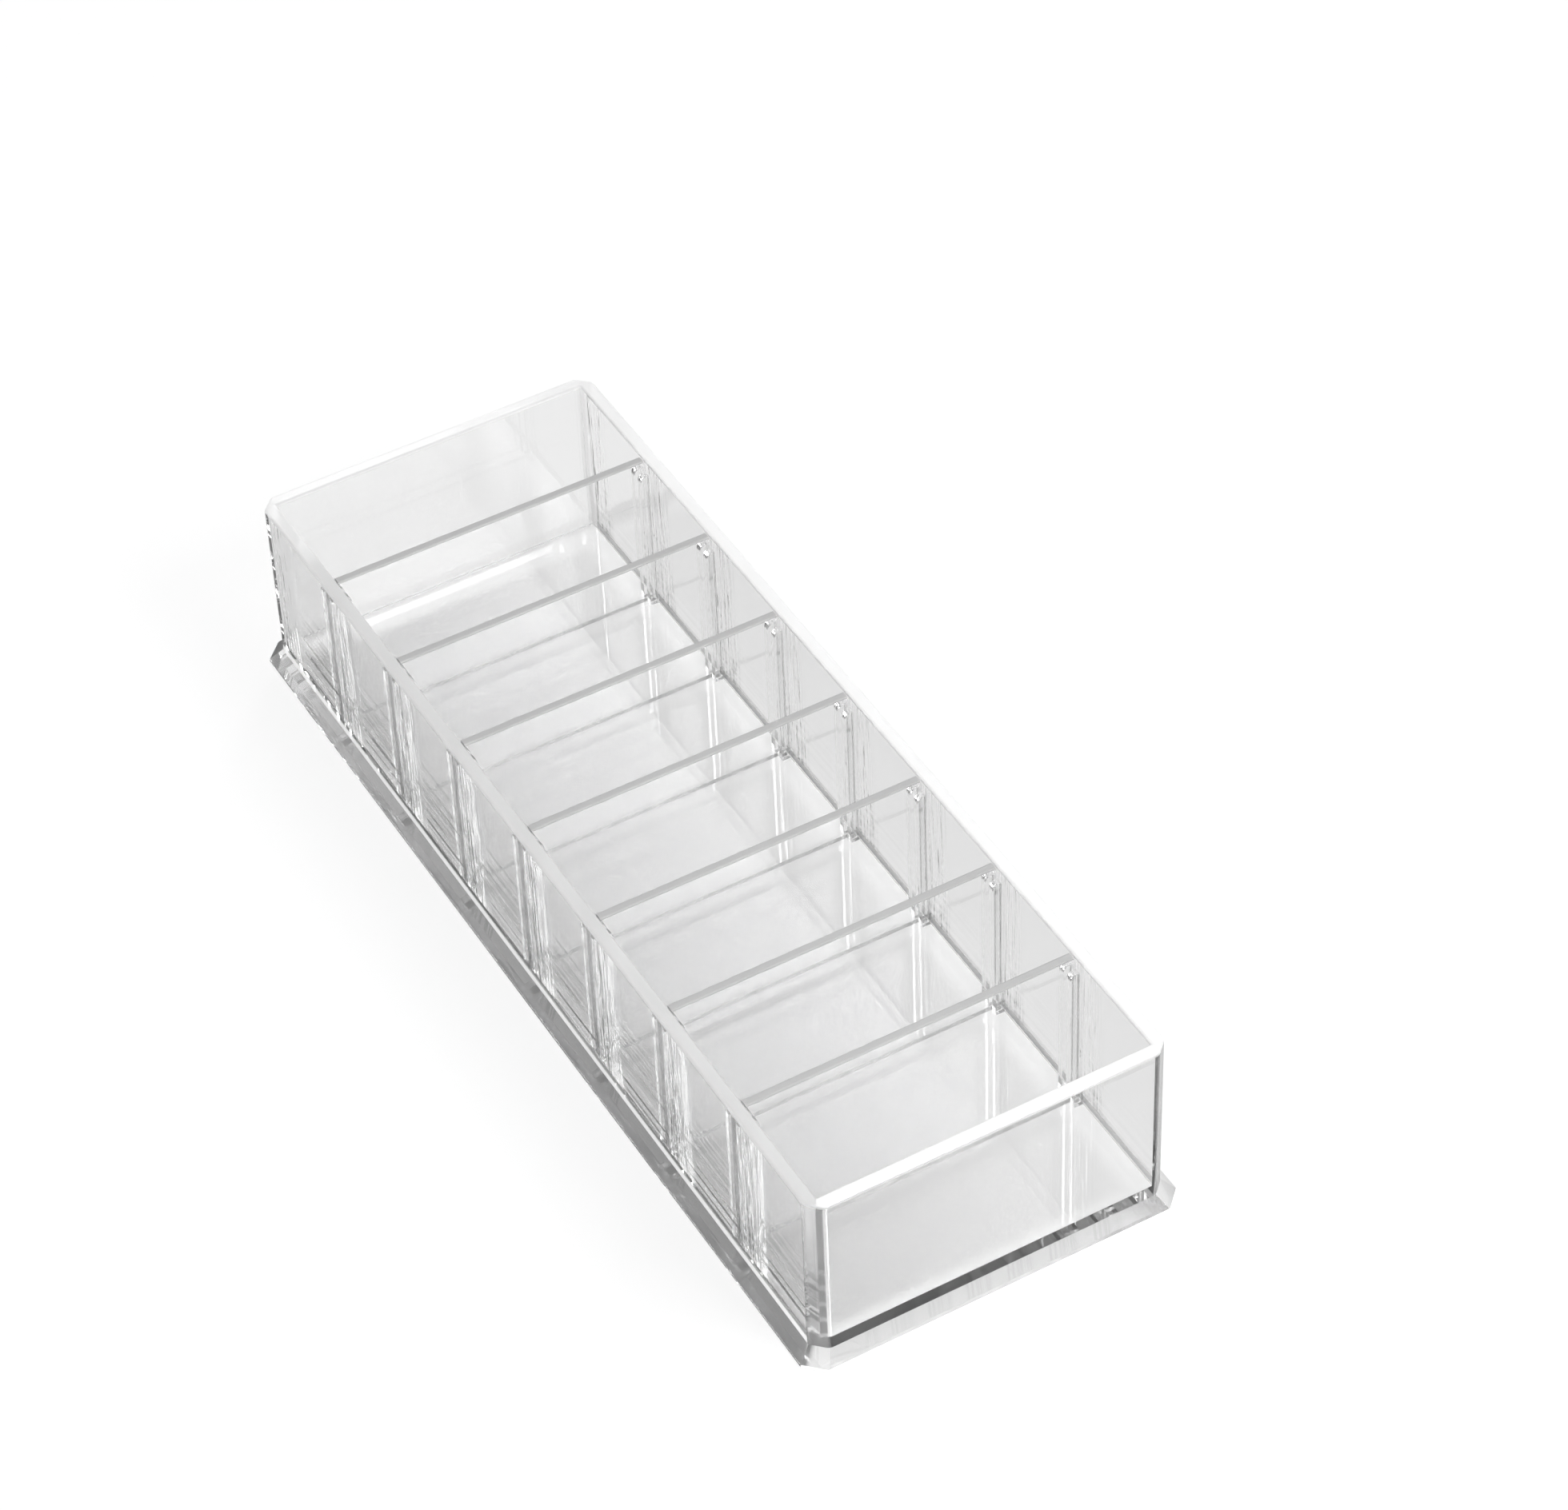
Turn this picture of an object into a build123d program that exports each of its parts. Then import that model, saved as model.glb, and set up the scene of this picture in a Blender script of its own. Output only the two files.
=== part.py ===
from build123d import *
import os

# A clear, open-topped organizer tray: four upright panels on a bevelled base plate, and seven dividers that
# lift out of guide strips on the long walls. Millimetres. X is the width, Y the length, Z up. The origin is
# the centre of the footprint, on the table. The front end faces -Y.

# Sizes of the walls
tray_width = 82.0  # outside of the two long walls
tray_length = 241.0  # outside of the two end walls
overall_height = 45.5  # table to rim
wall_thickness = 3.2  # one sheet thickness for all four walls
corner_chamfer = 3.1  # leg of the flat down each outer corner
rim_radius = 0.7  # polished rounding along the rim

# Sizes of the base plate
base_thickness = 5.0  # table to the floor of the compartments
wall_seat_height = 3.7  # table to the rebate that the walls stand in
base_overhang = 2.8  # how far the foot of the bevel stands out past the walls
base_corner_chamfer = 4.1  # leg of the flat across each corner of the footprint
base_land = 0.6  # upright edge below the bevel

# Sizes of the dividers
divider_count = 7
divider_thickness = 2.0
divider_below_rim = 0.4
divider_edge_radius = 0.5
divider_end_clearance = 0.25  # each end to its wall

# Sizes of the guide strips, two to each end of a divider
strip_width = 1.6  # along the wall
strip_depth = 2.0  # out from the wall
strip_below_rim = 3.4
strip_nose_radius = 1.4  # rounds the free top corner, so that nothing catches on it
strip_clearance = 0.2  # each side of a divider to its strip

# What follows from them
inner_width = tray_width - 2 * wall_thickness
inner_length = tray_length - 2 * wall_thickness
compartment_length = (inner_length - divider_count * divider_thickness) / (divider_count + 1)
divider_pitch = compartment_length + divider_thickness
divider_length = inner_width - 2 * divider_end_clearance
divider_height = overall_height - divider_below_rim - base_thickness
strip_height = overall_height - strip_below_rim - base_thickness
strip_offset = divider_thickness / 2 + strip_clearance + strip_width / 2


def divider_station(number):
    """Y of the middle of a divider, numbered from 1 at the front."""
    return -inner_length / 2 + number * divider_pitch - divider_thickness / 2


def chamfered_outline(width, length, leg):
    """Points of a rectangle about the origin with its four corners cut at 45 degrees."""
    x, y = width / 2, length / 2
    return [
        (x - leg, -y), (x, -y + leg), (x, y - leg), (x - leg, y),
        (-x + leg, y), (-x, y - leg), (-x, -y + leg), (-x + leg, -y),
    ]


def flat_face(points, height):
    """Level face through the points, at the height."""
    return Pos(0, 0, height) * make_face(Polyline(*points, close=True))


def make_base_plate():
    """Bevelled plate whose top has a rebate all round for the walls."""
    foot = chamfered_outline(
        tray_width + 2 * base_overhang, tray_length + 2 * base_overhang, base_corner_chamfer
    )
    top = chamfered_outline(tray_width, tray_length, corner_chamfer)
    land = extrude(flat_face(foot, 0), base_land)
    bevel = loft([flat_face(foot, base_land), flat_face(top, wall_seat_height)], ruled=True)
    step = Box(
        inner_width,
        inner_length,
        base_thickness - wall_seat_height,
        align=(Align.CENTER, Align.CENTER, Align.MIN),
    )
    return land + bevel + Pos(0, 0, wall_seat_height) * step


def make_wall(run, span):
    """Front-facing wall of a tray run wide and span deep, mitred at its ends, with half of each corner flat."""
    inner_x = run / 2 - wall_thickness
    inner_y = -span / 2 + wall_thickness
    tip = corner_chamfer / 2
    plan = [
        (inner_x, inner_y), (run / 2 - tip, -span / 2 + tip), (run / 2 - corner_chamfer, -span / 2),
        (-run / 2 + corner_chamfer, -span / 2), (-run / 2 + tip, -span / 2 + tip), (-inner_x, inner_y),
    ]
    wall = extrude(flat_face(plan, wall_seat_height), overall_height - wall_seat_height)
    rim_edges = wall.faces().sort_by(Axis.Z)[-1].edges()
    inner_edge = rim_edges.filter_by(Axis.X).sort_by(Axis.Y)[-1]
    outer_edges = [edge for edge in rim_edges if edge.center().Y < -span / 2 + tip]
    return fillet([inner_edge, *outer_edges], rim_radius)


def make_end_wall(turn):
    """One of the two short walls, turned about Z from the front."""
    return Rot(0, 0, turn) * make_wall(tray_width, tray_length)


def make_long_wall(turn):
    """One of the two long walls, turned about Z from the front."""
    return Rot(0, 0, turn) * make_wall(tray_length, tray_width)


def make_guide_strip():
    """Upright strip for the wall on the left, standing on the floor, with its free top corner rounded."""
    strip = Box(
        strip_depth, strip_width, strip_height, align=(Align.MIN, Align.CENTER, Align.MIN)
    )
    top_corner = strip.edges().filter_by(Axis.Y).group_by(Axis.Z)[-1].sort_by(Axis.X)[-1]
    strip = fillet(top_corner, min(strip_nose_radius, 0.8 * strip_depth))
    return Pos(-inner_width / 2, 0, base_thickness) * strip


def make_guide_strips(side):
    """All the strips of one long wall, two for each divider. Side is 0 for the left wall, 180 for the right."""
    strip = Rot(0, 0, side) * make_guide_strip()
    stations = [
        divider_station(number) + offset
        for number in range(1, divider_count + 1)
        for offset in (-strip_offset, strip_offset)
    ]
    return Compound(children=[Pos(0, y, 0) * strip for y in stations])


def make_divider(number):
    """Flat panel across the tray that stands on the floor between its guide strips."""
    panel = Box(
        divider_length,
        divider_thickness,
        divider_height,
        align=(Align.CENTER, Align.CENTER, Align.MIN),
    )
    top_edges = panel.edges().filter_by(Axis.X).group_by(Axis.Z)[-1]
    panel = fillet(top_edges, divider_edge_radius)
    return Pos(0, divider_station(number), base_thickness) * panel


pieces = {
    "base_plate": make_base_plate(),
    "front_wall": make_end_wall(0),
    "rear_wall": make_end_wall(180),
    "left_wall": make_long_wall(-90),
    "right_wall": make_long_wall(90),
    "left_guide_strips": make_guide_strips(0),
    "right_guide_strips": make_guide_strips(180),
}
for number in range(1, divider_count + 1):
    pieces[f"divider_{number}"] = make_divider(number)

os.makedirs("parts", exist_ok=True)
for name, piece in pieces.items():
    export_step(piece, f"parts/{name}.step")
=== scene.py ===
import math
import bmesh
import bpy
from mathutils import Matrix, Vector


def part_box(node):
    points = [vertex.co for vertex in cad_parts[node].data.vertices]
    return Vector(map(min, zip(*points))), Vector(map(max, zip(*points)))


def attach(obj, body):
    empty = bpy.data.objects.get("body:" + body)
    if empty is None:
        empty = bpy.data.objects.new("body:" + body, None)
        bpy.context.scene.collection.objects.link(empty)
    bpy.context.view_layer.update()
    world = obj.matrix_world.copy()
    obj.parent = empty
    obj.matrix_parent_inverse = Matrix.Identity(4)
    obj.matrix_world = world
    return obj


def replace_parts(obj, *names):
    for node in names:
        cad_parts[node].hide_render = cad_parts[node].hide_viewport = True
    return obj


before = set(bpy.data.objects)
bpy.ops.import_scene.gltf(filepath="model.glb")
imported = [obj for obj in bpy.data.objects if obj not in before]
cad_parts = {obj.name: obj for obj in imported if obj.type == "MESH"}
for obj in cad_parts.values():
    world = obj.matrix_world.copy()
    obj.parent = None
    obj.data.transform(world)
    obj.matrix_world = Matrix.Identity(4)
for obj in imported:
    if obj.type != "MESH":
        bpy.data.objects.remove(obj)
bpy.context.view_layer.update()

MM = 0.001  # a millimetre in metres, the unit of the scene
CAMERA_AZIMUTH = math.radians(-28.23)
CAMERA_ELEVATION = math.radians(44.18)
CAMERA_ROLL = math.radians(-2.53)
CAMERA_DISTANCE = 1094.2 * MM
CAMERA_TARGET = Vector((27.3, 9.1, 25.0)) * MM
SENSOR_WIDTH_MM = 36.0
LENS_MM = 118.0
NEAREST_SEEN = 50.0 * MM

backwards = Vector((
    math.sin(CAMERA_AZIMUTH) * math.cos(CAMERA_ELEVATION),
    -math.cos(CAMERA_AZIMUTH) * math.cos(CAMERA_ELEVATION),
    math.sin(CAMERA_ELEVATION),
))
level_right = Vector((math.cos(CAMERA_AZIMUTH), math.sin(CAMERA_AZIMUTH), 0))
upwards = backwards.cross(level_right)
right = math.cos(CAMERA_ROLL) * level_right + math.sin(CAMERA_ROLL) * upwards
camera_up = math.cos(CAMERA_ROLL) * upwards - math.sin(CAMERA_ROLL) * level_right
camera_data = bpy.data.cameras.new("camera")
camera_data.sensor_width = SENSOR_WIDTH_MM
camera_data.lens = LENS_MM
camera_data.clip_start = NEAREST_SEEN
camera = bpy.data.objects.new("camera", camera_data)
turn = Matrix((right, camera_up, backwards)).transposed().to_4x4()
camera.matrix_world = Matrix.Translation(CAMERA_TARGET + backwards * CAMERA_DISTANCE) @ turn
bpy.context.scene.collection.objects.link(camera)
bpy.context.scene.camera = camera

# The table top
# A sheet of matt white paper, wide enough to fill every view. It reads as white in the picture. Seen through
# the clear acrylic or mirrored in it, it has shade painted on it close beside the tray, behind it and under
# it.
FLOOR_HALF = 4.0
FLOOR_DROP = 0.1 * MM  # keeps the paper off the underside of the tray
PAPER_WHITE = "#E8E8E8"
WHITE_TO_CAMERA = 0.85  # how far the paper is lifted to plain white where it is seen directly
WHITE_THROUGH_ACRYLIC = 0.8  # and where it is seen through the acrylic or mirrored in it
# The painted shades are brightnesses, against 1 in the light. Each starts and ends over a short way on the
# paper.
LEFT_SHADE = 0.15
LEFT_SHADE_FROM, LEFT_SHADE_TO = -35.0 * MM, -37.5 * MM
LEFT_LIGHT_FROM, LEFT_LIGHT_TO = -46.0 * MM, -56.0 * MM  # seen through the tray, it is lit again from here
FRONT_LIGHT_FROM, FRONT_LIGHT_TO = 75.5 * MM, 78.0 * MM  # X less Y: the left shade starts at the corner
RIGHT_SHADE = 0.72
RIGHT_SHADE_FROM, RIGHT_SHADE_TO = 38.0 * MM, 43.0 * MM
RIGHT_LIGHT_FROM, RIGHT_LIGHT_TO = 66.0 * MM, 110.0 * MM
REAR_SHADE = 0.8
REAR_SHADE_FROM, REAR_SHADE_TO = 117.0 * MM, 121.0 * MM
REAR_LIGHT_FROM, REAR_LIGHT_TO = 123.0 * MM, 126.0 * MM  # where the two side shades end
INNER_SHADE = (0.47, 0.86)  # under the tray, from its left side to its right
INNER_HALF = (37.0 * MM, 116.0 * MM)
INNER_SOFTNESS = 5.0 * MM


def linear(code):
    """Linear colour with alpha of an sRGB hex code."""
    channels = [int(code[i:i + 2], 16) / 255 for i in (1, 3, 5)]
    return [c / 12.92 if c <= 0.04045 else ((c + 0.055) / 1.055) ** 2.4 for c in channels] + [1.0]


def add(tree, kind, inputs=(), **settings):
    """Adds a node to the tree. Each input is a value, or the socket that feeds it."""
    node = tree.nodes.new(kind)
    for name, value in settings.items():
        setattr(node, name, value)
    for key, value in dict(inputs).items():
        if isinstance(value, bpy.types.NodeSocket):
            tree.links.new(value, node.inputs[key])
        else:
            node.inputs[key].default_value = value
    return node


def new_material(name):
    """An empty node material and its tree."""
    material = bpy.data.materials.new(name)
    material.use_nodes = True
    material.node_tree.nodes.clear()
    return material, material.node_tree


paper, tree = new_material("matt_white_paper")
rays = add(tree, "ShaderNodeLightPath")
to_camera = add(tree, "ShaderNodeMath", {
    0: rays.outputs["Is Camera Ray"], 1: WHITE_TO_CAMERA,
}, operation="MULTIPLY")
clear_rays = add(tree, "ShaderNodeMath", {
    0: rays.outputs["Is Transmission Ray"], 1: rays.outputs["Is Glossy Ray"],
}, operation="MAXIMUM")
through_acrylic = add(tree, "ShaderNodeMath", {
    0: clear_rays.outputs[0], 1: WHITE_THROUGH_ACRYLIC,
}, operation="MULTIPLY")
lift = add(tree, "ShaderNodeMath", {
    0: to_camera.outputs[0], 1: through_acrylic.outputs[0],
}, operation="MAXIMUM")
place = add(tree, "ShaderNodeTexCoord")
across = add(tree, "ShaderNodeSeparateXYZ", {0: place.outputs["Object"]})
# Painted shade: the paper's brightness, as seen through the acrylic or mirrored in it, is lowered by place
# beside, behind and under the tray.
left_shade = add(tree, "ShaderNodeMapRange", {
    "Value": across.outputs["X"], "From Min": LEFT_SHADE_TO, "From Max": LEFT_SHADE_FROM,
    "To Min": LEFT_SHADE,
}, interpolation_type="SMOOTHSTEP")
ahead = add(tree, "ShaderNodeMath", {0: across.outputs["X"], 1: across.outputs["Y"]}, operation="SUBTRACT")
lit_front = add(tree, "ShaderNodeMapRange", {
    "Value": ahead.outputs[0], "From Min": FRONT_LIGHT_FROM, "From Max": FRONT_LIGHT_TO,
}, interpolation_type="SMOOTHSTEP")
lit_left = add(tree, "ShaderNodeMapRange", {
    "Value": across.outputs["X"], "From Min": LEFT_LIGHT_FROM, "From Max": LEFT_LIGHT_TO,
}, interpolation_type="SMOOTHSTEP")
lit_rear = add(tree, "ShaderNodeMapRange", {
    "Value": across.outputs["Y"], "From Min": REAR_LIGHT_FROM, "From Max": REAR_LIGHT_TO,
}, interpolation_type="SMOOTHSTEP")
lit_far = add(tree, "ShaderNodeMath", {0: lit_left.outputs[0], 1: lit_rear.outputs[0]}, operation="MAXIMUM")
lit_through = add(tree, "ShaderNodeMath", {
    0: lit_far.outputs[0], 1: rays.outputs["Is Transmission Ray"],
}, operation="MULTIPLY")
lit = add(tree, "ShaderNodeMath", {0: lit_through.outputs[0], 1: lit_front.outputs[0]}, operation="MAXIMUM")
beside = add(tree, "ShaderNodeMath", {0: left_shade.outputs[0], 1: lit.outputs[0]}, operation="MAXIMUM")
rear_shade = add(tree, "ShaderNodeMapRange", {
    "Value": across.outputs["Y"], "From Min": REAR_SHADE_FROM, "From Max": REAR_SHADE_TO,
    "To Min": 1.0, "To Max": REAR_SHADE,
}, interpolation_type="SMOOTHSTEP")
right_shade = add(tree, "ShaderNodeMapRange", {
    "Value": across.outputs["X"], "From Min": RIGHT_SHADE_FROM, "From Max": RIGHT_SHADE_TO,
    "To Min": 1.0, "To Max": RIGHT_SHADE,
}, interpolation_type="SMOOTHSTEP")
lit_right = add(tree, "ShaderNodeMapRange", {
    "Value": across.outputs["X"], "From Min": RIGHT_LIGHT_FROM, "From Max": RIGHT_LIGHT_TO,
}, interpolation_type="SMOOTHSTEP")
lit_away = add(tree, "ShaderNodeMath", {
    0: lit_right.outputs[0], 1: lit_rear.outputs[0],
}, operation="MAXIMUM")
right_side = add(tree, "ShaderNodeMath", {
    0: right_shade.outputs[0], 1: lit_away.outputs[0],
}, operation="MAXIMUM")
outside = []
for axis, half in zip("XY", INNER_HALF):
    distance = add(tree, "ShaderNodeMath", {0: across.outputs[axis]}, operation="ABSOLUTE")
    beyond = add(tree, "ShaderNodeMath", {0: distance.outputs[0], 1: half}, operation="SUBTRACT")
    outside.append(beyond.outputs[0])
furthest = add(tree, "ShaderNodeMath", dict(enumerate(outside)), operation="MAXIMUM")
under = add(tree, "ShaderNodeMapRange", {
    "Value": across.outputs["X"], "From Min": -INNER_HALF[0], "From Max": INNER_HALF[0],
    "To Min": INNER_SHADE[0], "To Max": INNER_SHADE[1],
})
inner_shade = add(tree, "ShaderNodeMapRange", {
    "Value": furthest.outputs[0], "From Min": -INNER_SOFTNESS, "From Max": 0.0, "To Min": under.outputs[0],
}, interpolation_type="SMOOTHSTEP")
sides = add(tree, "ShaderNodeMath", {0: beside.outputs[0], 1: right_side.outputs[0]}, operation="MULTIPLY")
both = add(tree, "ShaderNodeMath", {0: sides.outputs[0], 1: rear_shade.outputs[0]}, operation="MULTIPLY")
shade = add(tree, "ShaderNodeMath", {0: both.outputs[0], 1: inner_shade.outputs[0]}, operation="MULTIPLY")
level = add(tree, "ShaderNodeMath", {
    0: shade.outputs[0], 1: rays.outputs["Is Camera Ray"],
}, operation="MAXIMUM")
matt = add(tree, "ShaderNodeBsdfDiffuse", {"Color": linear(PAPER_WHITE)})
white = add(tree, "ShaderNodeEmission", {"Color": (1, 1, 1, 1), "Strength": level.outputs[0]})
mixed = add(tree, "ShaderNodeMixShader", {0: lift.outputs[0], 1: matt.outputs[0], 2: white.outputs[0]})
add(tree, "ShaderNodeOutputMaterial", {"Surface": mixed.outputs[0]})
bpy.ops.mesh.primitive_plane_add(size=2 * FLOOR_HALF, location=(0, 0, -FLOOR_DROP))
floor = bpy.context.object
floor.name = "studio_floor"
floor.data.materials.append(paper)

# The light
# A white sweep behind the tray that also runs low round the other sides, a greyer room in front of it, a
# softbox in front and one on the left, and a strip light 3 m away behind. The clear edges mirror them all.
SWEEP = 0.95
ROOM = 0.35
SWEEP_FROM, SWEEP_TO = -0.7, 0.3  # Y of the direction, from the room in front to the sweep behind
LOW_FROM, LOW_TO = 0.05, 0.2  # Z of the direction, over which the low part of the sweep ends
BOUNCES = 64  # light is mirrored many times inside the plate before it leaves
GLOSSY_BOUNCES = 48
SOFTBOXES = (  # name, place, width and height in metres, power in watts
    ("front_softbox", (0.33, -0.75, 0.86), 0.40, 0.40, 12.0),
    ("left_softbox", (-1.18, -0.10, 0.20), 0.50, 0.50, 5.5),
    ("rear_strip_light", (1.51, 1.41, 2.18), 0.40, 0.80, 17.0),
)

world = bpy.data.worlds.new("white_tent")
bpy.context.scene.world = world
world.use_nodes = True
tree = world.node_tree
tree.nodes.clear()
rays = add(tree, "ShaderNodeLightPath")
direction = add(tree, "ShaderNodeTexCoord")
towards = add(tree, "ShaderNodeSeparateXYZ", {0: direction.outputs["Generated"]})
behind = add(tree, "ShaderNodeMapRange", {
    "Value": towards.outputs["Y"], "From Min": SWEEP_FROM, "From Max": SWEEP_TO,
    "To Min": ROOM, "To Max": SWEEP,
}, interpolation_type="SMOOTHSTEP")
low = add(tree, "ShaderNodeMapRange", {
    "Value": towards.outputs["Z"], "From Min": LOW_FROM, "From Max": LOW_TO, "To Min": SWEEP, "To Max": 0.0,
}, interpolation_type="SMOOTHSTEP")
sweep = add(tree, "ShaderNodeMath", {0: behind.outputs[0], 1: low.outputs[0]}, operation="MAXIMUM")
seen = add(tree, "ShaderNodeMath", {
    0: rays.outputs["Is Camera Ray"], 1: sweep.outputs[0],
}, operation="MAXIMUM")
sky = add(tree, "ShaderNodeBackground", {"Color": (1, 1, 1, 1), "Strength": seen.outputs[0]})
add(tree, "ShaderNodeOutputWorld", {"Surface": sky.outputs[0]})

for name, softbox_place, width, height, watts in SOFTBOXES:
    softbox_light = bpy.data.lights.new(name, "AREA")
    softbox_light.shape = "RECTANGLE"
    softbox_light.size = width
    softbox_light.size_y = height
    softbox_light.energy = watts
    softbox = bpy.data.objects.new(name, softbox_light)
    softbox.location = softbox_place
    softbox.rotation_euler = (-softbox.location).to_track_quat("-Z", "Y").to_euler()
    bpy.context.scene.collection.objects.link(softbox)

bpy.context.scene.view_settings.view_transform = "Standard"
bpy.context.scene.cycles.max_bounces = BOUNCES
bpy.context.scene.cycles.transmission_bounces = BOUNCES
bpy.context.scene.cycles.glossy_bounces = GLOSSY_BOUNCES

# The base plate
# A plate of clear cast acrylic, 5 mm thick, bevelled on all four sides with a router and flame polished. The
# four walls stand in a rebate round its top and are cemented there, so that no air is left in the joint.
# The lowest edge stays as the saw leaves it at the ends and the corners.


def box_mm(node):
    """Lowest and highest corner of a piece of the CAD model, in millimetres."""
    return [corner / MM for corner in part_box(node)]


_, base_high = box_mm("base_plate")
left_low, left_high = box_mm("left_wall")
front_low, _ = box_mm("front_wall")
HALF_WIDTH = -left_low.x
HALF_LENGTH = -front_low.y
RIM = left_high.z
SEAT = left_low.z
FLOOR = base_high.z
WALL = left_high.x - left_low.x
CORNER_FLAT = 3.1
FOOT_CORNER_FLAT = 4.1
LAND = 0.6
BASE_ROUNDING = 0.12
BASE_ROUNDING_STEPS = 3
BEVEL_CORNER_SHARE = 0.5  # of that rounding, where two sides of the bevel meet
FOOT_MILK = 0.9  # how far the sawn foot edge is white instead of clear
BOND = 0.02  # how far cemented pieces reach into each other
NEAR = 0.01  # less than this apart counts as the same place

# The surface of the acrylic, with its sizes in millimetres. The hairlines and the grain of the cut edges are
# finer on a real tray, and are drawn coarser so that they show. The ranges are parts of a noise from 0 to 1.
ACRYLIC_IOR = 1.49
RIPPLE_SIZE = 30.0
RIPPLE_DEPTH = 0.006
MARK_SIZE = 14.0
MARK_RANGE = (0.5, 0.75)
MARK_ROUGHNESS = 0.03
HAIRLINE_STRETCH = (0.8, 60.0, 0.8)
HAIRLINE_TURN = (0.5, 0.3, 0.9)  # radians
HAIRLINE_RANGE = (0.66, 0.72)
HAIRLINE_ROUGHNESS = 0.05
EDGE_GRAIN = 2.0
EDGE_GRAIN_RANGE = (0.3, 0.7)
EDGE_GRAIN_SPREAD = (0.8, 1.2)
CORNER_SATIN = 0.3  # the corner flats are polished further than the rim
CUT_RANGE = (0.05, 0.25)  # how square to an axis a face is where the finish of a cut edge starts and is full


def cut_rectangle(half_x, half_y, leg):
    """Points of a rectangle about the origin with its corners cut at 45 degrees, anticlockwise."""
    return [
        (half_x - leg, -half_y), (half_x, -half_y + leg), (half_x, half_y - leg), (half_x - leg, half_y),
        (-half_x + leg, half_y), (-half_x, half_y - leg), (-half_x, -half_y + leg), (-half_x + leg, -half_y),
    ]


def ring(mesh, points, height):
    """Vertices at a height, in millimetres."""
    return [mesh.verts.new(Vector((x, y, height)) * MM) for x, y in points]


def join_rings(mesh, low, high):
    """Side faces between two rings with as many points each, in the order of the points."""
    following = range(1, len(low) + 1)
    return [
        mesh.faces.new((low[i - 1], low[i % len(low)], high[i % len(low)], high[i - 1])) for i in following
    ]


def edge_weights(mesh, weight_of):
    """Sets how far each edge is rounded. weight_of reads the edge's two ends in mm, and gives a share."""
    layer = mesh.edges.layers.float.new("bevel_weight_edge")
    for edge in mesh.edges:
        ends = [v.co / MM for v in edge.verts]
        edge[layer] = weight_of(*ends)
        edge.smooth = edge[layer] > 0


def mark_cemented(layer, faces):
    """Marks the faces of a mesh that are cemented to another piece."""
    for face in faces:
        face[layer] = 1.0


def finish_piece(name, mesh, rounding_mm, segments, material):
    """Rounds the weighted edges of a closed mesh and returns it as an object."""
    bmesh.ops.recalc_face_normals(mesh, faces=mesh.faces)
    data = bpy.data.meshes.new(name)
    mesh.to_mesh(data)
    mesh.free()
    data.materials.append(material)
    for face in data.polygons:
        face.use_smooth = True
    piece = bpy.data.objects.new(name, data)
    bpy.context.scene.collection.objects.link(piece)
    rounding = piece.modifiers.new("polished_edges", "BEVEL")
    rounding.width = rounding_mm * MM
    rounding.segments = segments
    rounding.limit_method = "WEIGHT"
    rounding.harden_normals = True
    return piece


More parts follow.
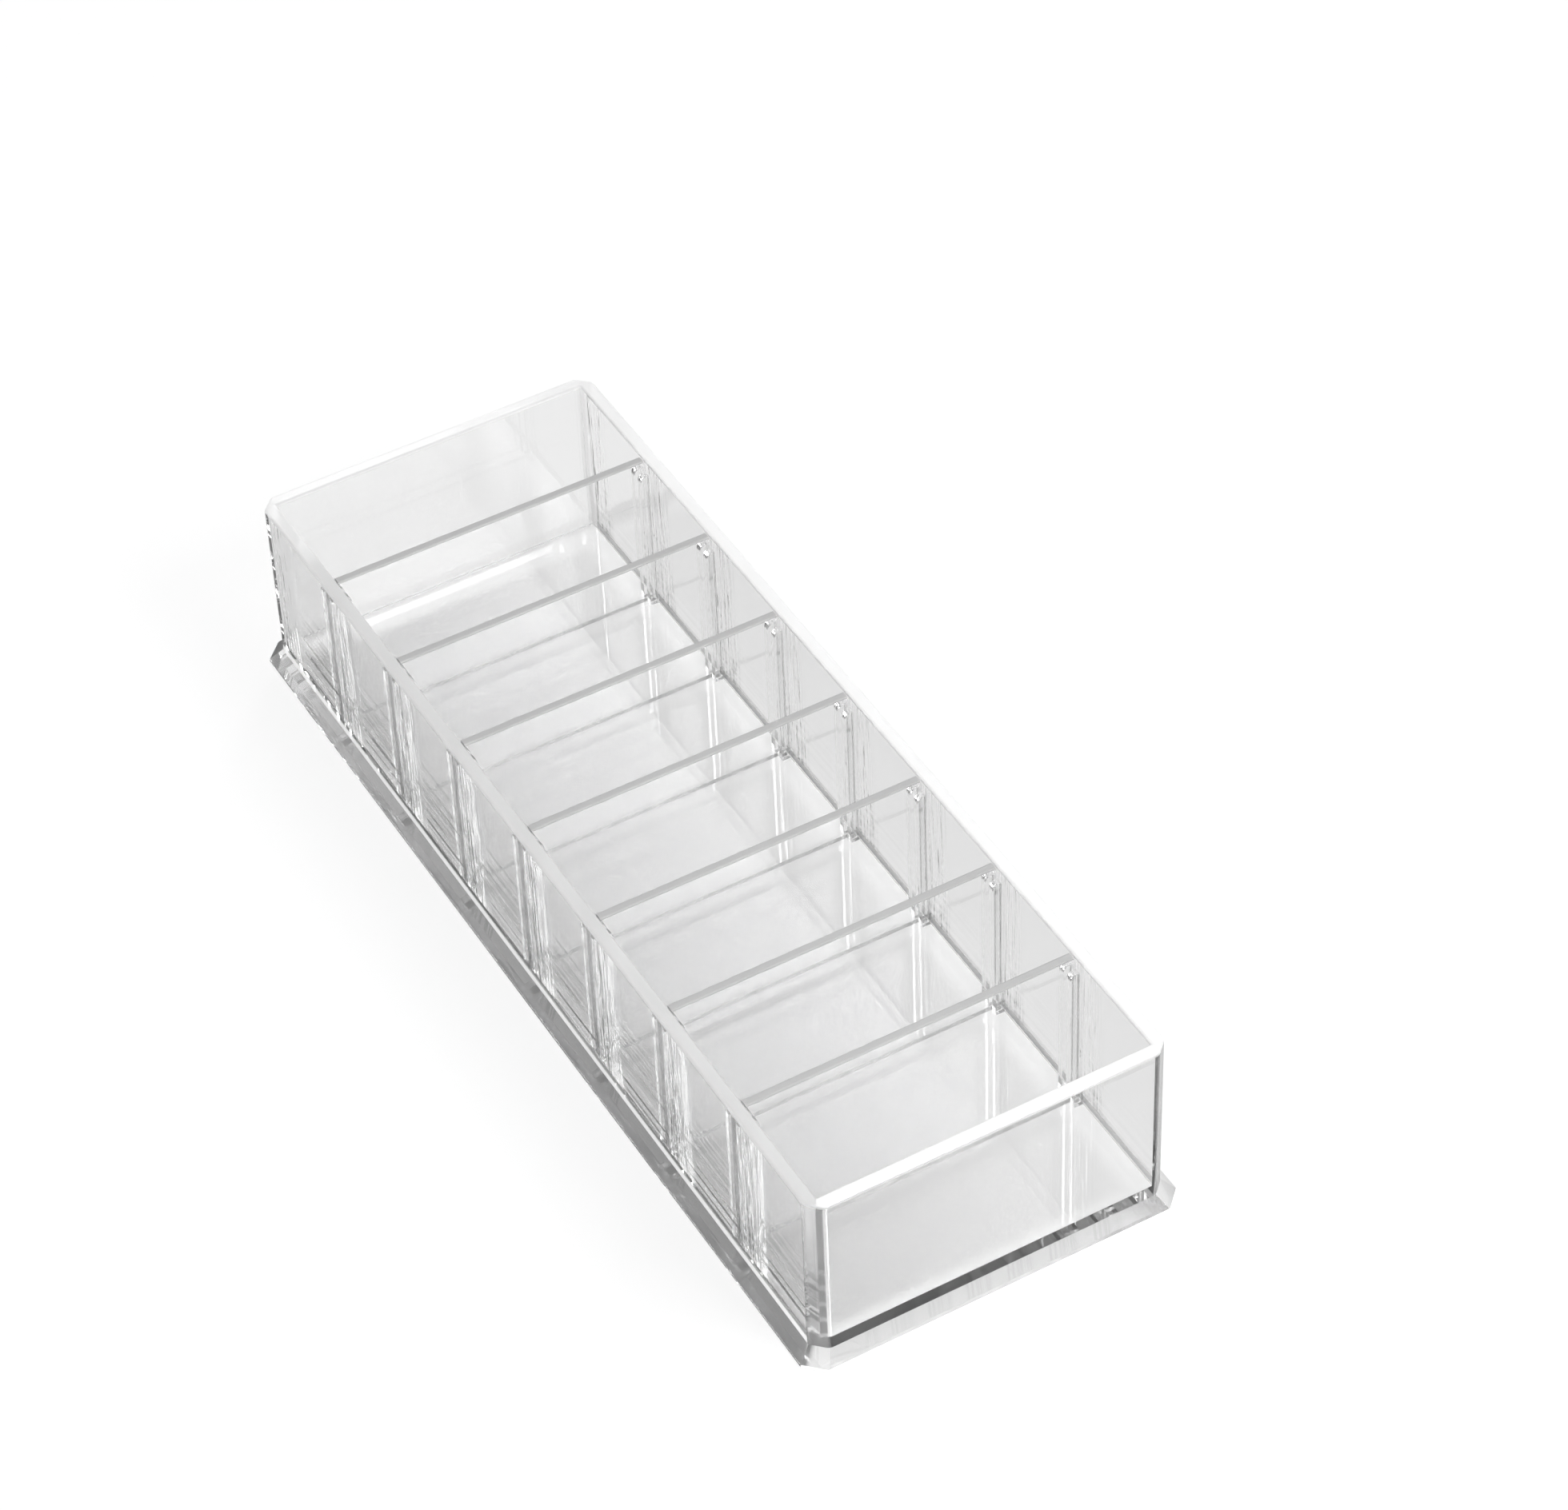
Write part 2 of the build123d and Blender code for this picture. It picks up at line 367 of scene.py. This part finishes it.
def clear_acrylic(
    name, tint, depth_mm, cut_axes, edge_roughness, edge_clearness, edge_colour,
    wear=1.0, cemented=False, relief=None,
):
    """Clear acrylic with glossy sheet faces, and with a finish of its own where it is cut square to an axis.

    The tint is what white light keeps over the depth. Ripple, hand marks and hairlines are common to all,
    and wear is the share of marks and hairlines. Where cemented is set, light goes straight through the
    faces that are marked so. Relief is a function that gives a height and how milky the surface is.
    """
    material, tree = new_material(name)
    place = add(tree, "ShaderNodeTexCoord")
    spot = place.outputs["Object"]
    ripple = add(tree, "ShaderNodeTexNoise", {
        "Vector": spot, "Scale": 1 / (RIPPLE_SIZE * MM), "Detail": 1.0,
    })
    marks = add(tree, "ShaderNodeTexNoise", {
        "Vector": spot, "Scale": 1 / (MARK_SIZE * MM), "Detail": 4.0,
    })
    mark_haze = add(tree, "ShaderNodeMapRange", {
        "Value": marks.outputs[0], "From Min": MARK_RANGE[0], "From Max": MARK_RANGE[1],
        "To Min": 0.0, "To Max": wear * MARK_ROUGHNESS,
    })
    strokes = add(tree, "ShaderNodeMapping", {
        "Vector": spot, "Rotation": HAIRLINE_TURN, "Scale": [1 / (s * MM) for s in HAIRLINE_STRETCH],
    })
    hairs = add(tree, "ShaderNodeTexNoise", {"Vector": strokes.outputs[0], "Scale": 1.0, "Detail": 2.0})
    hair_haze = add(tree, "ShaderNodeMapRange", {
        "Value": hairs.outputs[0], "From Min": HAIRLINE_RANGE[0], "From Max": HAIRLINE_RANGE[1],
        "To Min": 0.0, "To Max": wear * HAIRLINE_ROUGHNESS,
    })
    face_haze = add(tree, "ShaderNodeMath", {
        0: mark_haze.outputs[0], 1: hair_haze.outputs[0],
    }, operation="ADD")

    facing = add(tree, "ShaderNodeSeparateXYZ", {0: place.outputs["Normal"]})
    diagonal = add(tree, "ShaderNodeMath", {
        0: facing.outputs["X"], 1: facing.outputs["Y"],
    }, operation="MULTIPLY")
    corner = add(tree, "ShaderNodeMath", {0: diagonal.outputs[0]}, operation="ABSOLUTE")
    cut = add(tree, "ShaderNodeMath", {0: corner.outputs[0], 1: CORNER_SATIN}, operation="MULTIPLY")
    for axis in cut_axes:
        share = add(tree, "ShaderNodeMath", {0: facing.outputs[axis]}, operation="ABSOLUTE")
        cut = add(tree, "ShaderNodeMath", {0: share.outputs[0], 1: cut.outputs[0]}, operation="MAXIMUM")
    on_edge = add(tree, "ShaderNodeMapRange", {
        "Value": cut.outputs[0], "From Min": CUT_RANGE[0], "From Max": CUT_RANGE[1],
    })
    grain = add(tree, "ShaderNodeTexNoise", {"Vector": spot, "Scale": 1 / (EDGE_GRAIN * MM), "Detail": 3.0})
    edge_haze = add(tree, "ShaderNodeMapRange", {
        "Value": grain.outputs[0], "From Min": EDGE_GRAIN_RANGE[0], "From Max": EDGE_GRAIN_RANGE[1],
        "To Min": EDGE_GRAIN_SPREAD[0] * edge_roughness, "To Max": EDGE_GRAIN_SPREAD[1] * edge_roughness,
    })
    haze = add(tree, "ShaderNodeMix", {
        0: on_edge.outputs[0], 2: face_haze.outputs[0], 3: edge_haze.outputs[0],
    }, data_type="FLOAT")
    height = add(tree, "ShaderNodeMath", {0: ripple.outputs[0], 1: RIPPLE_DEPTH * MM}, operation="MULTIPLY")
    clearness = add(tree, "ShaderNodeMapRange", {
        "Value": on_edge.outputs[0], "To Min": 1.0, "To Max": edge_clearness,
    })
    if relief:
        raised, milk = relief(tree, spot)
        height = add(tree, "ShaderNodeMath", {0: height.outputs[0], 1: raised}, operation="ADD")
        clearness = add(tree, "ShaderNodeMath", {
            0: clearness.outputs[0], 1: milk,
        }, operation="SUBTRACT", use_clamp=True)
    index = ACRYLIC_IOR
    if cemented:
        joint = add(tree, "ShaderNodeAttribute", attribute_name="cemented")
        free = add(tree, "ShaderNodeMath", {0: 1.0, 1: joint.outputs["Fac"]}, operation="SUBTRACT")
        haze = add(tree, "ShaderNodeMath", {0: haze.outputs[0], 1: free.outputs[0]}, operation="MULTIPLY")
        clearness = add(tree, "ShaderNodeMath", {
            0: clearness.outputs[0], 1: joint.outputs["Fac"],
        }, operation="MAXIMUM")
        refraction = add(tree, "ShaderNodeMapRange", {
            "Value": joint.outputs["Fac"], "To Min": ACRYLIC_IOR, "To Max": 1.0,
        })
        index = refraction.outputs[0]
    unevenness = add(tree, "ShaderNodeBump", {"Height": height.outputs[0], "Strength": 1.0, "Distance": 1.0})
    colour = add(tree, "ShaderNodeMix", {
        0: on_edge.outputs[0], 6: (1, 1, 1, 1), 7: linear(edge_colour),
    }, data_type="RGBA")
    shader = add(tree, "ShaderNodeBsdfPrincipled", {
        "Base Color": colour.outputs[2], "Roughness": haze.outputs[0], "IOR": index,
        "Transmission Weight": clearness.outputs[0], "Normal": unevenness.outputs[0],
    })
    body = add(tree, "ShaderNodeVolumeAbsorption", {"Color": linear(tint), "Density": 1 / (depth_mm * MM)})
    add(tree, "ShaderNodeOutputMaterial", {"Surface": shader.outputs[0], "Volume": body.outputs[0]})
    return material


def sawn_foot(tree, spot):
    """No relief, and how milky the foot edges of the ends and corners are, which the saw leaves so."""
    quarter = add(tree, "ShaderNodeVectorMath", {0: spot}, operation="ABSOLUTE")
    place = add(tree, "ShaderNodeSeparateXYZ", {0: quarter.outputs[0]})
    diagonal = add(tree, "ShaderNodeMath", {0: place.outputs["X"], 1: place.outputs["Y"]}, operation="ADD")
    past_corner = add(tree, "ShaderNodeMath", {
        0: diagonal.outputs[0], 1: (base_high.x - FOOT_CORNER_FLAT) * MM,
    }, operation="SUBTRACT")
    reach = add(tree, "ShaderNodeMath", {
        0: place.outputs["Y"], 1: past_corner.outputs[0],
    }, operation="MAXIMUM")
    sawn = add(tree, "ShaderNodeMath", {
        0: reach.outputs[0], 1: (base_high.y - 2 * BASE_ROUNDING) * MM,
    }, operation="GREATER_THAN")
    milk = add(tree, "ShaderNodeMath", {0: sawn.outputs[0], 1: FOOT_MILK}, operation="MULTIPLY")
    return 0.0, milk.outputs[0]


# Cast acrylic, routed and flame polished: a clear plate whose long light paths turn a neutral grey.
base_acrylic = clear_acrylic(
    "cast_acrylic_plate", tint="#E7E7E7", depth_mm=20, cut_axes="", edge_roughness=0.0,
    edge_clearness=1.0, edge_colour="#FFFFFF", cemented=True, relief=sawn_foot,
)
mesh = bmesh.new()
cemented = mesh.faces.layers.float.new("cemented")
foot_points = cut_rectangle(base_high.x, base_high.y, FOOT_CORNER_FLAT)
seat_points = cut_rectangle(HALF_WIDTH, HALF_LENGTH, CORNER_FLAT)
step_x = HALF_WIDTH - WALL + BOND
step_y = HALF_LENGTH - WALL + BOND
inner_points = [(step_x, -step_y), (step_x, step_y), (-step_x, step_y), (-step_x, -step_y)]
foot = ring(mesh, foot_points, 0)
land = ring(mesh, foot_points, LAND)
seat = ring(mesh, seat_points, SEAT)
step_foot = ring(mesh, inner_points, SEAT)
step_top = ring(mesh, inner_points, FLOOR)
mesh.faces.new(foot[::-1])
join_rings(mesh, foot, land)
join_rings(mesh, land, seat)
mark_cemented(cemented, join_rings(mesh, step_foot, step_top))
mesh.faces.new(step_top)
for corner in range(4):
    first, second = seat[2 * corner], seat[2 * corner + 1]
    third = seat[(2 * corner + 2) % 8]
    mark_cemented(cemented, [
        mesh.faces.new((first, second, step_foot[corner])),
        mesh.faces.new((second, third, step_foot[(corner + 1) % 4], step_foot[corner])),
    ])


def base_rounding(a, b):
    """Full at the foot, less up the corners, and none where the walls stand."""
    if max(a.z, b.z) < SEAT - NEAR:
        return 1.0
    return BEVEL_CORNER_SHARE if a.z != b.z else 0.0


edge_weights(mesh, base_rounding)
base_plate = finish_piece("clear_base_plate", mesh, BASE_ROUNDING, BASE_ROUNDING_STEPS, base_acrylic)
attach(base_plate, "tray")
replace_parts(base_plate, "base_plate")

# The four walls
# Clear cast acrylic sheet, an eighth of an inch thick, mitred at the corners, cemented to each other and to
# the base plate. The rim is rounded over and flame polished. Each outer corner is cut flat, with soft edges.
RIM_ROUNDING = 0.7  # the edges of the corner flats have it too
RIM_ROUNDING_STEPS = 6
QUARTER_TURN = math.pi / 2

# What the cement has left on the long walls, in millimetres. Real runs and lines are finer than these, which
# are drawn coarser so that they show. Their three grains are across the sheet, along the wall and upwards.
RUN_SPREAD = (-13.0, -6.0)  # the runs thin out over this way, ahead of the middle of each divider
RUN_GRAIN = (2.0, 1.1, 12.0)
RUN_DEPTH = 0.5
RUN_LEAN = 0.13  # slope of the film of cement, which thickens towards the guide strips
LINE_GRAIN = (2.0, 90.0, 2.4)  # faint level lines low in the sheet
LINE_DEPTH = 0.3
LINE_HEIGHT = (8.0, 34.0)  # full at the first height above the table, and gone at the second
RIGHT_SHARE = 0.3  # the right wall was cemented more cleanly
MILK = 0.9  # how far the cement at the foot of the wall is white instead of clear
MILK_HEIGHT = (5.0, 6.2)
DIVIDER_COUNT = 7
divider_boxes = [box_mm(f"divider_{k + 1}") for k in range(DIVIDER_COUNT)]
DIVIDER_PITCH = divider_boxes[1][0].y - divider_boxes[0][0].y


def cement_marks(tree, spot):
    """Height of the cement runs and faint lines inside a long wall, and how milky its foot is outside."""
    place = add(tree, "ShaderNodeSeparateXYZ", {0: spot})
    depth = add(tree, "ShaderNodeMath", {0: place.outputs["X"]}, operation="ABSOLUTE")
    into_sheet = add(tree, "ShaderNodeMath", {
        0: depth.outputs[0], 1: (HALF_WIDTH - WALL) * MM,
    }, operation="SUBTRACT")
    off_face = add(tree, "ShaderNodeMath", {0: into_sheet.outputs[0]}, operation="ABSOLUTE")
    inner = add(tree, "ShaderNodeMath", {0: off_face.outputs[0], 1: BOND * MM}, operation="LESS_THAN")
    side = add(tree, "ShaderNodeMapRange", {
        "Value": place.outputs["X"], "From Min": 0.0, "From Max": BOND * MM,
        "To Min": 1.0, "To Max": RIGHT_SHARE,
    })
    worked = add(tree, "ShaderNodeMath", {0: inner.outputs[0], 1: side.outputs[0]}, operation="MULTIPLY")
    bay = add(tree, "ShaderNodeMath", {
        0: place.outputs["Y"], 1: DIVIDER_PITCH / 2 * MM, 2: -DIVIDER_PITCH / 2 * MM,
    }, operation="WRAP")
    beside = add(tree, "ShaderNodeMapRange", {
        "Value": bay.outputs[0], "From Min": RUN_SPREAD[0] * MM, "From Max": RUN_SPREAD[1] * MM,
    }, interpolation_type="SMOOTHSTEP")
    ahead = add(tree, "ShaderNodeMath", {0: bay.outputs[0], 1: 0.0}, operation="LESS_THAN")
    low = add(tree, "ShaderNodeMapRange", {
        "Value": place.outputs["Z"], "From Min": LINE_HEIGHT[1] * MM, "From Max": LINE_HEIGHT[0] * MM,
    }, interpolation_type="SMOOTHSTEP")
    parts = []
    for grain, depth_mm, lean, masks in (
        (RUN_GRAIN, RUN_DEPTH, RUN_LEAN, (beside.outputs[0], ahead.outputs[0])),
        (LINE_GRAIN, LINE_DEPTH, 0.0, (low.outputs[0],)),
    ):
        stretched = add(tree, "ShaderNodeMapping", {"Vector": spot, "Scale": [1 / (g * MM) for g in grain]})
        wave = add(tree, "ShaderNodeTexNoise", {"Vector": stretched.outputs[0], "Scale": 1.0, "Detail": 1.0})
        height = add(tree, "ShaderNodeMath", {0: wave.outputs[0], 1: depth_mm * MM}, operation="MULTIPLY")
        if lean:
            slope = add(tree, "ShaderNodeMath", {
                0: bay.outputs[0], 1: -RUN_SPREAD[0] * MM,
            }, operation="ADD")
            sloped = add(tree, "ShaderNodeMath", {0: slope.outputs[0], 1: lean}, operation="MULTIPLY")
            height = add(tree, "ShaderNodeMath", {
                0: height.outputs[0], 1: sloped.outputs[0],
            }, operation="ADD")
        for mask in (worked.outputs[0], *masks):
            height = add(tree, "ShaderNodeMath", {0: height.outputs[0], 1: mask}, operation="MULTIPLY")
        parts.append(height.outputs[0])
    raised = add(tree, "ShaderNodeMath", dict(enumerate(parts)), operation="ADD")
    outer = add(tree, "ShaderNodeMath", {
        0: into_sheet.outputs[0], 1: (WALL - BOND) * MM,
    }, operation="GREATER_THAN")
    foot = add(tree, "ShaderNodeMapRange", {
        "Value": place.outputs["Z"], "From Min": MILK_HEIGHT[1] * MM, "From Max": MILK_HEIGHT[0] * MM,
        "To Min": 0.0, "To Max": MILK,
    }, interpolation_type="SMOOTHSTEP")
    milk = add(tree, "ShaderNodeMath", {0: outer.outputs[0], 1: foot.outputs[0]}, operation="MULTIPLY")
    return raised.outputs[0], milk.outputs[0]


# Cast acrylic sheet: a clear, hard gloss that ripples a little, with a rim that is polished by flame.
wall_acrylic = clear_acrylic(
    "cast_acrylic_sheet", tint="#F3F3F3", depth_mm=35, cut_axes="Z", edge_roughness=0.4,
    edge_clearness=0.66, edge_colour="#FFFFFF", cemented=True, relief=cement_marks,
)
LEFT_MITRE, RIGHT_MITRE, STEP_SIDE = 0, 4, 5  # the cemented sides, by their place in the plan of a wall


def make_wall(name, run, span, quarter_turns):
    """A wall of a tray run wide and span deep, in half sizes, made facing the front and then turned."""
    tip = CORNER_FLAT / 2
    plan = [
        (-run + WALL - BOND, -span + WALL), (-run + tip - BOND, -span + tip), (-run + CORNER_FLAT, -span),
        (run - CORNER_FLAT, -span), (run - tip + BOND, -span + tip), (run - WALL + BOND, -span + WALL),
    ]
    mesh = bmesh.new()
    cemented = mesh.faces.layers.float.new("cemented")
    low = ring(mesh, plan, SEAT - BOND)
    bond = ring(mesh, plan, FLOOR)
    high = ring(mesh, plan, RIM)
    foot_sides = join_rings(mesh, low, bond)
    sides = join_rings(mesh, bond, high)
    mark_cemented(cemented, [mesh.faces.new(low[::-1]), foot_sides[STEP_SIDE]])
    for part in (foot_sides, sides):
        mark_cemented(cemented, [part[LEFT_MITRE], part[RIGHT_MITRE]])
    mesh.faces.new(high)

    def wall_rounding(a, b):
        """Full along the rim and up the outer edges of the corner flats, and none elsewhere."""
        if abs(a.z - b.z) > NEAR:
            return 1.0 if abs(abs(a.x) - run + CORNER_FLAT) < NEAR else 0.0
        if a.z < RIM - NEAR:
            return 0.0
        inner_end = -span + WALL - NEAR
        mitre = (a.y > inner_end) != (b.y > inner_end)
        return 0.0 if mitre else 1.0

    edge_weights(mesh, wall_rounding)
    facing = Matrix.Rotation(quarter_turns * QUARTER_TURN, 3, "Z")
    bmesh.ops.rotate(mesh, verts=mesh.verts, matrix=facing)
    wall = finish_piece(name, mesh, RIM_ROUNDING, RIM_ROUNDING_STEPS, wall_acrylic)
    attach(wall, "tray")
    return wall


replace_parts(make_wall("clear_front_wall", HALF_WIDTH, HALF_LENGTH, 0), "front_wall")
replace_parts(make_wall("clear_right_wall", HALF_LENGTH, HALF_WIDTH, 1), "right_wall")
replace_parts(make_wall("clear_rear_wall", HALF_WIDTH, HALF_LENGTH, 2), "rear_wall")
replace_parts(make_wall("clear_left_wall", HALF_LENGTH, HALF_WIDTH, 3), "left_wall")

# The guide strips
# Small upright strips sawn from the same sheet and cemented in pairs to the long walls. Each pair holds one
# end of a divider. The top of each strip is rounded over, so that the divider finds its way in.
strip_low, strip_high = box_mm("left_guide_strips")
DIVIDER_THICKNESS = divider_boxes[0][1].y - divider_boxes[0][0].y
STRIP_DEPTH = strip_high.x - strip_low.x
STRIP_WIDTH = 1.6
STRIP_NOSE = 1.4
STRIP_CLEARANCE = 0.2
NOSE_STEPS = 6
PAIR_HALF = DIVIDER_THICKNESS / 2 + STRIP_CLEARANCE + STRIP_WIDTH / 2

# Sawn and polished acrylic: clear all round, with sides that mirror the lights as pale upright lines.
strip_acrylic = clear_acrylic(
    "sawn_acrylic_strip", tint="#F3F3F3", depth_mm=60, cut_axes="Y", edge_roughness=0.02,
    edge_clearness=1.0, edge_colour="#FFFFFF", wear=0.1,
)


def size_tree(name, sizes):
    """A Geometry Nodes tree with a named input for each size and for its material, and its input sockets."""
    tree = bpy.data.node_groups.new(name, "GeometryNodeTree")
    for size in sizes:
        tree.interface.new_socket(size, in_out="INPUT", socket_type="NodeSocketFloat")
    tree.interface.new_socket("Material", in_out="INPUT", socket_type="NodeSocketMaterial")
    tree.interface.new_socket("Geometry", in_out="OUTPUT", socket_type="NodeSocketGeometry")
    return tree, add(tree, "NodeGroupInput").outputs


def sawn_bar(tree, width, height, length, rounded_corners, radius, steps):
    """Adds a bar of width by height along Z, centred. Its first one or two top corners are rounded."""
    section = add(tree, "GeometryNodeCurvePrimitiveQuadrilateral", {"Width": width, "Height": height})
    corner = add(tree, "GeometryNodeInputIndex")
    chosen = add(tree, "FunctionNodeCompare", {
        2: corner.outputs[0], 3: rounded_corners,
    }, data_type="INT", operation="LESS_THAN")
    corner_radius = add(tree, "ShaderNodeMath", {0: chosen.outputs[0], 1: radius}, operation="MULTIPLY")
    rounded = add(tree, "GeometryNodeFilletCurve", {
        "Curve": section.outputs[0], "Radius": corner_radius.outputs[0], "Count": steps,
    }, mode="POLY")
    half = add(tree, "ShaderNodeMath", {0: length, 1: 0.5}, operation="MULTIPLY")
    top = add(tree, "ShaderNodeCombineXYZ", {"Z": half.outputs[0]})
    bottom = add(tree, "ShaderNodeVectorMath", {0: top.outputs[0], "Scale": -1.0}, operation="SCALE")
    line = add(tree, "GeometryNodeCurvePrimitiveLine", {"Start": bottom.outputs[0], "End": top.outputs[0]})
    return add(tree, "GeometryNodeCurveToMesh", {
        "Curve": line.outputs[0], "Profile Curve": rounded.outputs[0], "Fill Caps": True,
    }).outputs[0]


def finish_tree(tree, shape, material):
    """Ends a tree: real geometry with its material."""
    real = add(tree, "GeometryNodeRealizeInstances", {"Geometry": shape})
    coloured = add(tree, "GeometryNodeSetMaterial", {"Geometry": real.outputs[0], "Material": material})
    add(tree, "NodeGroupOutput", {0: coloured.outputs[0]})


def run_tree(name, tree, sizes):
    """Runs a tree with its inputs set, and returns the result as a plain mesh object."""
    piece = bpy.data.objects.new(name, bpy.data.meshes.new(name))
    bpy.context.scene.collection.objects.link(piece)
    maker = piece.modifiers.new("maker", "NODES")
    maker.node_group = tree
    for item in tree.interface.items_tree:
        if item.in_out == "INPUT":
            maker[item.identifier] = sizes[item.name]
    shown = piece.evaluated_get(bpy.context.evaluated_depsgraph_get())
    made = bpy.data.meshes.new_from_object(shown)
    made.shade_flat()
    piece.modifiers.clear()
    piece.data = made
    return piece


strip_tree, size = size_tree("guide_strips", [
    "Depth", "Width", "Height", "Nose radius", "Pair half",
    "Pitch", "Row start", "Wall", "Middle height", "Turn",
])
bar = sawn_bar(strip_tree, size["Depth"], size["Height"], size["Width"], 1, size["Nose radius"], NOSE_STEPS)
upright = add(strip_tree, "GeometryNodeTransform", {"Geometry": bar, "Rotation": (QUARTER_TURN, 0, 0)})
pair = add(strip_tree, "GeometryNodeJoinGeometry")
for side in (-1, 1):
    aside = add(strip_tree, "ShaderNodeMath", {0: size["Pair half"], 1: side}, operation="MULTIPLY")
    shift = add(strip_tree, "ShaderNodeCombineXYZ", {"Y": aside.outputs[0]})
    strip = add(strip_tree, "GeometryNodeTransform", {
        "Geometry": upright.outputs[0], "Translation": shift.outputs[0],
    })
    strip_tree.links.new(strip.outputs[0], pair.inputs[0])
start = add(strip_tree, "ShaderNodeCombineXYZ", {
    "X": size["Wall"], "Y": size["Row start"], "Z": size["Middle height"],
})
step = add(strip_tree, "ShaderNodeCombineXYZ", {"Y": size["Pitch"]})
row = add(strip_tree, "GeometryNodeMeshLine", {
    "Count": DIVIDER_COUNT, "Start Location": start.outputs[0], "Offset": step.outputs[0],
})
strips = add(strip_tree, "GeometryNodeInstanceOnPoints", {
    "Points": row.outputs[0], "Instance": pair.outputs[0],
})
turned = add(strip_tree, "ShaderNodeCombineXYZ", {"Z": size["Turn"]})
placed = add(strip_tree, "GeometryNodeTransform", {
    "Geometry": strips.outputs[0], "Rotation": turned.outputs[0],
})
finish_tree(strip_tree, placed.outputs[0], size["Material"])

for name, node, half_turns in (
    ("clear_left_strips", "left_guide_strips", 0), ("clear_right_strips", "right_guide_strips", 1),
):
    strips = run_tree(name, strip_tree, {
        "Depth": (STRIP_DEPTH + BOND) * MM,
        "Width": STRIP_WIDTH * MM,
        "Height": (strip_high.z - FLOOR + BOND) * MM,
        "Nose radius": STRIP_NOSE * MM,
        "Pair half": PAIR_HALF * MM,
        "Pitch": DIVIDER_PITCH * MM,
        "Row start": -(DIVIDER_COUNT - 1) / 2 * DIVIDER_PITCH * MM,
        "Wall": (-HALF_WIDTH + WALL + (STRIP_DEPTH - BOND) / 2) * MM,
        "Middle height": (strip_high.z + FLOOR - BOND) / 2 * MM,
        "Turn": half_turns * math.pi,
        "Material": strip_acrylic,
    })
    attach(strips, "tray")
    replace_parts(strips, node)

# The dividers
# Thinner panels of the same acrylic, sawn to length, with rounded top edges. They stand loose on the floor
# of the tray between their guide strips, with air all round, and lift straight out.
STANDING_GAP = 0.04
DIVIDER_ROUNDING = 0.5
ROUNDING_STEPS = 5

# Cast acrylic: the panel is clear, and its top edge is a satin grey, which draws a line across the tray.
divider_acrylic = clear_acrylic(
    "sawn_acrylic_panel", tint="#F3F3F3", depth_mm=60, cut_axes="Z", edge_roughness=0.4,
    edge_clearness=0.45, edge_colour="#B4B4B4", wear=0.1,
)
divider_tree, size = size_tree("divider", [
    "Length", "Thickness", "Height", "Edge radius", "Station", "Middle height",
])
bar = sawn_bar(
    divider_tree, size["Thickness"], size["Height"], size["Length"], 2, size["Edge radius"], ROUNDING_STEPS
)
place = add(divider_tree, "ShaderNodeCombineXYZ", {"Y": size["Station"], "Z": size["Middle height"]})
panel = add(divider_tree, "GeometryNodeTransform", {
    "Geometry": bar, "Rotation": (QUARTER_TURN, 0, QUARTER_TURN), "Translation": place.outputs[0],
})
finish_tree(divider_tree, panel.outputs[0], size["Material"])

for number, (low, high) in enumerate(divider_boxes, start=1):
    foot = low.z + STANDING_GAP
    divider = run_tree(f"clear_divider_{number}", divider_tree, {
        "Length": (high.x - low.x) * MM,
        "Thickness": DIVIDER_THICKNESS * MM,
        "Height": (high.z - foot) * MM,
        "Edge radius": DIVIDER_ROUNDING * MM,
        "Station": (low.y + high.y) / 2 * MM,
        "Middle height": (high.z + foot) / 2 * MM,
        "Material": divider_acrylic,
    })
    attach(divider, f"divider_{number}_body")
    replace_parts(divider, f"divider_{number}")
